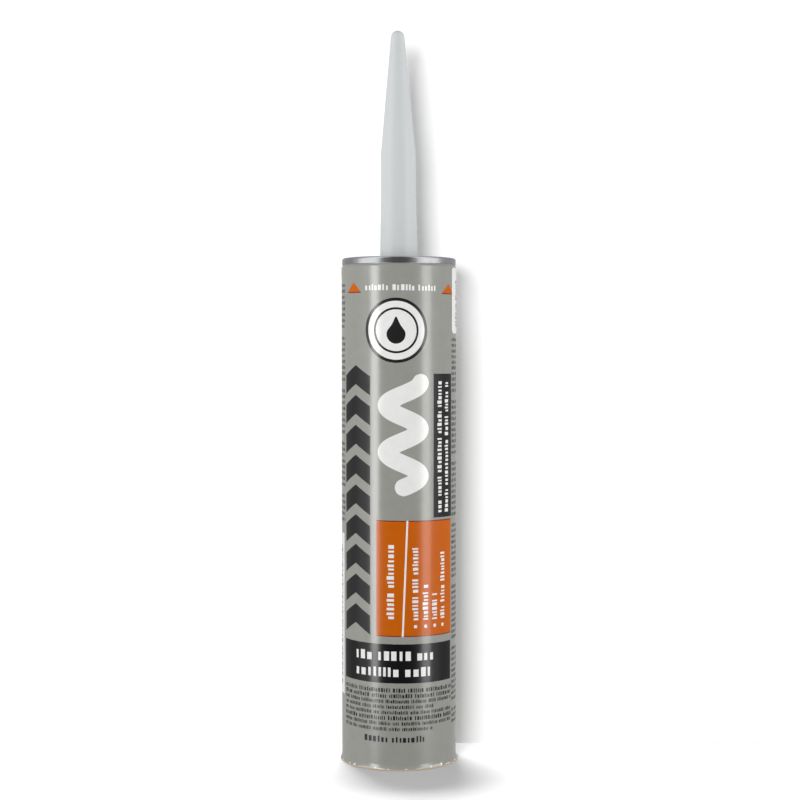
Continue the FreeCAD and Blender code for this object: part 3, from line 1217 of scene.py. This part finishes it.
@dataclass
class Filling:
    """Sealant behind the seal."""

    radius: float = 23.38
    low: float = 38.5
    groove: float = 210.5
    panel: float = 211.9
    top: float = 212.3
    groove_edge: float = 20.58
    panel_edge: float = 20.18
    bevel: float = 0.4
    boss: float = 10.4
    keep: float = 0.0132         # share of its height that is left when the plunger is up

    def build(self, material: Material) -> bpy.types.Object:
        """Build the filling and give it its material."""
        path = [(0.0, self.low), (self.radius, self.low), (self.radius, self.groove),
                (self.groove_edge, self.groove), (self.groove_edge, self.panel - self.bevel),
                (self.panel_edge, self.panel), (self.boss, self.panel), (self.boss, self.top),
                (0.0, self.top)]
        mesh = turned_mesh("sealant_filling", path, False, 96)
        mesh.materials.append(material)
        piece = linked("sealant_filling", mesh)
        finish_piece(piece, Body.CARTRIDGE, ("sealant",))
        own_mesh(piece)
        return piece


class Reach(Enum):
    """What a lamp may light."""

    OBJECT = "every piece, by matt light"
    PAPER = "the paper pieces, by sheen"
    BACKDROP = "the backdrop"
    FLOOR = "the floor"


@dataclass
class Studio:
    """White floor and backdrop, soft boxes on both sides, and the camera."""

    paper_pieces: list[bpy.types.Object]
    camera_place: Spot = (0.00047, -0.735, 0.1795)
    pitch: float = 1.90              # how far the camera looks down, in degrees
    lens: float = 76.67
    sensor: float = 36.0
    backdrop_gap: float = 0.0256
    stage_reach: float = 0.6
    box_away: float = 0.72
    box_tall: float = 0.56
    fill_back: float = 0.44          # plain fill light from behind the camera
    fill_front: float = 0.80         # and from behind the tube
    mirror_gain: float = 1.3
    stage: dict[str, bpy.types.Object] = field(default_factory=dict)

    def stage_material(self, name: str, albedo: float, own_light: float) -> Material:
        """Pale stage that shows only its front and keeps the object's shadow.

        Args:
            name: Name of the material.
            albedo: Share of the light that it gives back.
            own_light: Light that the stage adds to itself for the rays that show it.

        Returns:
            The material.
        """
        material, sketch = new_material(name)
        path = sketch.add("ShaderNodeLightPath")
        shown = sketch.math("MAXIMUM", path.outputs["Is Camera Ray"], sketch.math(
            "MAXIMUM", path.outputs["Is Glossy Ray"], path.outputs["Is Transmission Ray"]))
        matte = sketch.add("ShaderNodeBsdfDiffuse", {"Color": (albedo, albedo, albedo, 1.0)})
        glow = sketch.add("ShaderNodeEmission", {
            "Color": (1.0, 1.0, 1.0, 1.0), "Strength": sketch.math("MULTIPLY", shown, own_light)})
        lit = sketch.add("ShaderNodeAddShader", {0: matte.outputs[0], 1: glow.outputs[0]})
        clear = sketch.add("ShaderNodeBsdfTransparent")
        back = sketch.add("ShaderNodeNewGeometry").outputs["Backfacing"]
        mixed = sketch.add("ShaderNodeMixShader", {
            0: back, 1: lit.outputs[0], 2: clear.outputs[0]})
        sketch.add("ShaderNodeOutputMaterial", {"Surface": mixed.outputs[0]})
        return material

    def plane(self, name: str, corners: list[Spot],
              material: Material) -> None:
        """Add one flat stage surface that casts no light or shadow on the object."""
        mesh = bpy.data.meshes.new(name)
        mesh.from_pydata(corners, [], [(0, 1, 2, 3)])
        mesh.materials.append(material)
        sheet = linked(name, mesh)
        sheet.visible_diffuse = False
        sheet.visible_shadow = False
        sheet.visible_glossy = False
        self.stage[name] = sheet

    def aim(self, made: bpy.types.Object, reach: Reach) -> None:
        """Limit what a lamp lights.

        Args:
            made: The lamp.
            reach: What it may light.
        """
        group = bpy.data.collections.new(made.name + "_reach")
        if reach is Reach.PAPER:
            members = self.paper_pieces
        elif reach is Reach.OBJECT:
            members = list(self.stage.values())
        else:
            members = [self.stage[reach.name.lower()]]
        for piece in members:
            group.objects.link(piece)
        if reach is Reach.OBJECT:
            for entry in group.collection_objects:
                entry.light_linking.link_state = "EXCLUDE"
        made.light_linking.receiver_collection = group

    def lamp(self, name: str, place: Spot, size: Place, radiance: float, reach: Reach,
             target: Spot) -> None:
        """Add a rectangular soft box.

        Args:
            name: Name of the lamp.
            place: Its middle, in metres.
            size: Width and height in metres.
            radiance: Brightness of its face; 1 is white.
            reach: What it may light.
            target: Point that it faces.
        """
        light = bpy.data.lights.new(name, "AREA")
        light.shape = "RECTANGLE"
        light.size, light.size_y = size
        light.energy = radiance * math.pi * size[0] * size[1]
        made = bpy.data.objects.new(name, light)
        bpy.context.scene.collection.objects.link(made)
        made.location = place
        way = Vector(target) - Vector(place)
        made.rotation_euler = way.to_track_quat("-Z", "Y").to_euler()
        made.visible_glossy = reach is Reach.PAPER
        made.visible_diffuse = reach is not Reach.PAPER
        self.aim(made, reach)

    def soft_box(self, name: str, angle: float, width: float, radiance: float,
                 reach: Reach, low: float = -0.11) -> None:
        """Add a tall soft box beside the tube, square to its axis.

        Args:
            name: Name of the lamp.
            angle: Degrees from the camera's side, positive to the right.
            width: Its width in degrees as the tube sees it.
            radiance: Brightness of its face; 1 is white.
            reach: What it may light.
            low: Height of its lower edge, in metres.
        """
        away, tall = self.box_away, self.box_tall
        high = low + tall
        turn = math.radians(angle)
        middle = (low + high) / 2
        place = (away * math.sin(turn), -away * math.cos(turn), middle)
        size = (2 * away * math.tan(math.radians(width / 2)), tall)
        self.lamp(name, place, size, radiance, reach, (0.0, 0.0, middle))

    def mirrored_studio(self, sketch: NodeSketch, turn: Socket
                        ) -> Socket:
        """Brightness of the studio that shiny surfaces mirror, by direction.

        Args:
            sketch: The world's tree.
            turn: Angle from the camera's side, 0 to 1 for 0 to 180 degrees.

        Returns:
            The brightness socket.
        """
        ramp = sketch.add("ShaderNodeValToRGB", {"Fac": turn})
        stops = ramp.color_ramp.elements
        levels = [(0.0, 0.07), (24.0, 0.12), (34.0, 0.20), (41.0, 0.84), (50.0, 1.0),
                  (80.0, 0.94), (94.0, 0.42), (108.0, 0.29), (134.0, 0.29), (156.0, 0.38),
                  (180.0, 0.34)]
        while len(stops) < len(levels):
            stops.new(0.5)
        for stop, (angle, level) in zip(stops, levels):
            stop.position = angle / 180.0
            stop.color = (level, level, level, 1.0)
        return sketch.math("MULTIPLY", ramp.outputs["Color"], self.mirror_gain)

    def world(self) -> None:
        """White to the camera, a soft studio to shiny surfaces, and a plain fill light."""
        world = bpy.data.worlds.new("studio_white")
        world.use_nodes = True
        world.node_tree.nodes.clear()
        sketch = NodeSketch(world.node_tree)
        path = sketch.add("ShaderNodeLightPath")
        way = sketch.add("ShaderNodeTexCoord").outputs["Generated"]
        parts = sketch.add("ShaderNodeSeparateXYZ", {0: way})
        sideways = sketch.math("ABSOLUTE", parts.outputs[0])
        toward = sketch.math("MULTIPLY", parts.outputs[1], -1.0)
        turn = sketch.math("DIVIDE", sketch.math("ARCTAN2", sideways, toward), math.pi)
        fill = ranged(sketch, parts.outputs[1], self.fill_back, self.fill_front, -0.5, 0.6)
        shiny = sketch.math("MAXIMUM", path.outputs["Is Glossy Ray"],
                            path.outputs["Is Transmission Ray"])
        camera = path.outputs["Is Camera Ray"]
        strength = sketch.add("ShaderNodeMix", {
            "Factor": shiny, "A": fill, "B": self.mirrored_studio(sketch, turn)},
            data_type="FLOAT").outputs[0]
        strength = sketch.add("ShaderNodeMix", {"Factor": camera, "A": strength, "B": 1.0},
                              data_type="FLOAT").outputs[0]
        sky = sketch.add("ShaderNodeBackground", {"Color": (1.0, 1.0, 1.0, 1.0),
                                                  "Strength": strength})
        sketch.add("ShaderNodeOutputWorld", {"Surface": sky.outputs[0]})
        bpy.context.scene.world = world

    def build(self) -> None:
        """Set the stage, the light and the camera."""
        wide, y = self.stage_reach, self.backdrop_gap
        self.plane("backdrop", [(-wide, y, 0.0), (wide, y, 0.0), (wide, y, 2 * wide),
                                (-wide, y, 2 * wide)],
                   self.stage_material("stage_wall", 0.86, 0.10))
        self.plane("floor", [(-wide, -wide, 0.0), (wide, -wide, 0.0), (wide, y, 0.0),
                             (-wide, y, 0.0)], self.stage_material("stage_floor", 0.10, 0.0))
        self.soft_box("soft_box_left", -62.0, 34.0, 4.8, Reach.OBJECT, low=0.02)
        self.soft_box("soft_box_right", 60.0, 34.0, 4.2, Reach.OBJECT, low=0.0)
        self.soft_box("sheen_left", -48.5, 16.0, 13.6, Reach.PAPER)
        self.soft_box("sheen_right", 56.0, 19.0, 8.0, Reach.PAPER)
        key, key_size, tail = (-0.39, -1.55, 0.45), (0.56, 0.56), (0.0, 0.0, 0.0)
        self.lamp("backdrop_key", key, key_size, 21.0, Reach.BACKDROP, (0.0, 0.0, 0.16))
        self.lamp("floor_front_key", key, key_size, 400.0, Reach.FLOOR, tail)
        self.lamp("floor_top_key", (-0.055, 0.25, 1.60), (0.17, 0.17), 1950.0, Reach.FLOOR, tail)
        self.world()
        camera = bpy.data.cameras.new("photo_camera")
        camera.lens = self.lens
        camera.sensor_width = self.sensor
        made = bpy.data.objects.new("photo_camera", camera)
        bpy.context.scene.collection.objects.link(made)
        made.location = self.camera_place
        made.rotation_euler = (math.radians(90.0 - self.pitch), 0.0, 0.0)
        scene = bpy.context.scene
        scene.camera = made
        scene.view_settings.view_transform = "Standard"


@dataclass
class PlainNodes:
    """CAD pieces that keep their own shape and get a finish."""

    nodes: dict[str, bpy.types.Object]

    def dress(self, name: str, material: Material) -> None:
        """Give a CAD piece its material."""
        slots = self.nodes[name].material_slots
        if not slots:
            self.nodes[name].data.materials.append(material)
        for slot in slots:
            slot.material = material
        LOG.info("%s: keeps its solid, dressed in %s", name, material.name)


def main() -> None:
    """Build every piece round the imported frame."""
    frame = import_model()
    wall = Wall()

    inks = [LabelInk(ink).build() for ink in Ink]
    label = PrintedLabel(wall)
    paper = [finish_piece(label.build(LabelPrint().fields(), inks), Body.CARTRIDGE,
                          ("label_wrap",))]
    small = FinePrint()
    small.fill()
    for ink in (Ink.WHITE, Ink.CHARCOAL):
        name = "fine_print_" + ink.name.lower()
        paper.append(finish_piece(small.build(name, ink, wall.radius, inks[ink.value]),
                                  Body.CARTRIDGE))
    sticker = Sticker()
    stuck = FinePrint(lean=0.0, seed=9)
    stuck.fill_sticker(sticker)
    paper.append(finish_piece(
        stuck.build("sticker_print", Ink.CHARCOAL, sticker.radius, inks[Ink.CHARCOAL.value]),
        Body.CARTRIDGE))

    tin = Tinplate().build()
    finish_piece(MetalEnd().build(tin), Body.CARTRIDGE, ("metal_end",))
    pale = MouldedPlastic("nozzle_polyethylene", (0.614, 0.641, 0.647), 0.24, 1.2).build()
    finish_piece(Nozzle().build(pale), Body.CARTRIDGE, ("nozzle",))
    filling = PlainSkin("sealant_paste", (0.62, 0.61, 0.58), 0.42, Grain(6.0, 3.0), 0.05)
    Filling().build(filling.build())

    plain = PlainNodes(frame["nodes"])
    plain.dress("stock_sticker", inks[Ink.WHITE.value])
    for name, finish in (
            ("board_tube", RawBoard()), ("foil_liner", WrinkledFoil()),
            ("plunger", MouldedPlastic("plunger_polyethylene", (0.74, 0.75, 0.74), 0.4, 1.0)),
            ("seam_compound", PlainSkin("seam_paste", (0.10, 0.10, 0.11), 0.55,
                                        Grain(1.5, 3.0), 0.03)),
            ("inner_seal", PlainSkin("seal_film_skin", (0.70, 0.71, 0.72), 0.3,
                                     Grain(3.0, 3.0), 0.02))):
        plain.dress(name, finish.build())

    paper += [frame["nodes"]["stock_sticker"], frame["nodes"]["board_tube"]]
    Studio(paper).build()


if __name__ == "__main__":
    logging.basicConfig(level=logging.INFO, format="%(name)s %(message)s")
    main()
